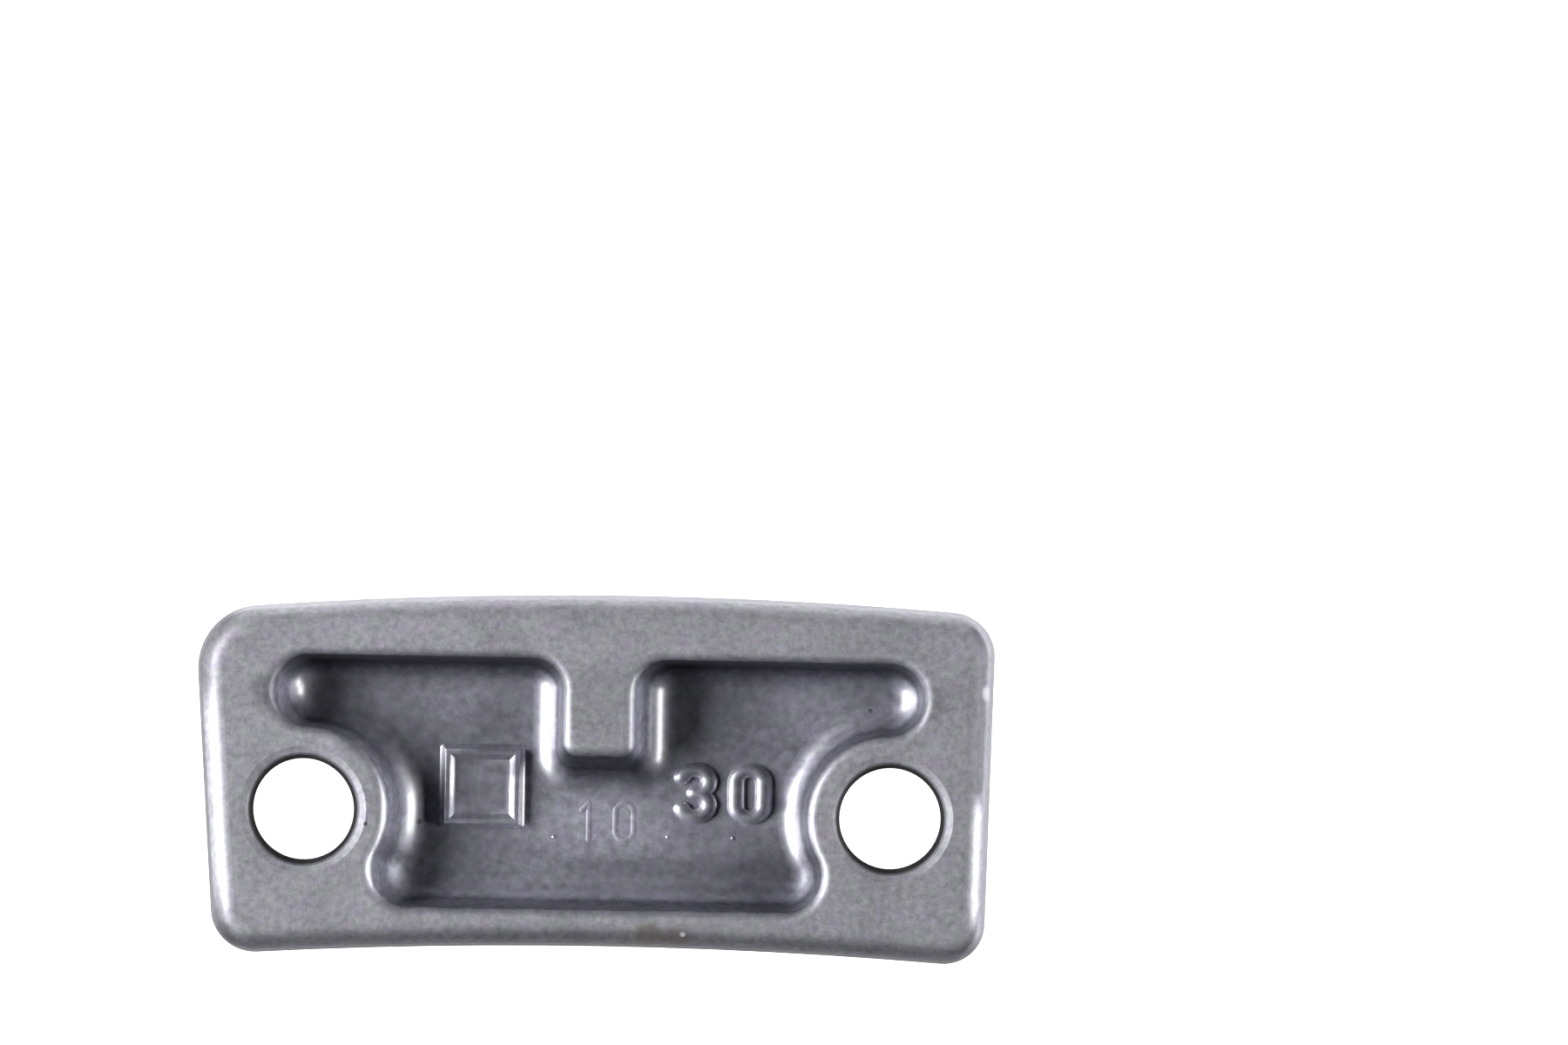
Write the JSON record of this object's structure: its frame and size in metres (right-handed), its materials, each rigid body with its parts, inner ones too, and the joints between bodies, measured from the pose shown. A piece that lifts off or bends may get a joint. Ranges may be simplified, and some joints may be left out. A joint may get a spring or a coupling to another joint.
{
  "type": "wheel balance weight",
  "caption": "Flat-backed, slightly curved cast zinc weight with a bolt hole at each end, a cored pocket with a central tongue, and a raised pad, for screwing to a wheel or rotor.",
  "frame": {"origin": "midway between the two bolt holes, on the flat back face that bears on the wheel", "axes": "+X along the weight towards the plain end, +Y towards the long convex edge, +Z out of the cored front face"},
  "size_m": [0.0503, 0.0229, 0.0063],
  "materials": {
    "zinc": "as-cast satin zinc alloy, dull bluish grey"
  },
  "bodies": {
    "root": {"balance_weight": "zinc"}
  },
  "joints": []
}
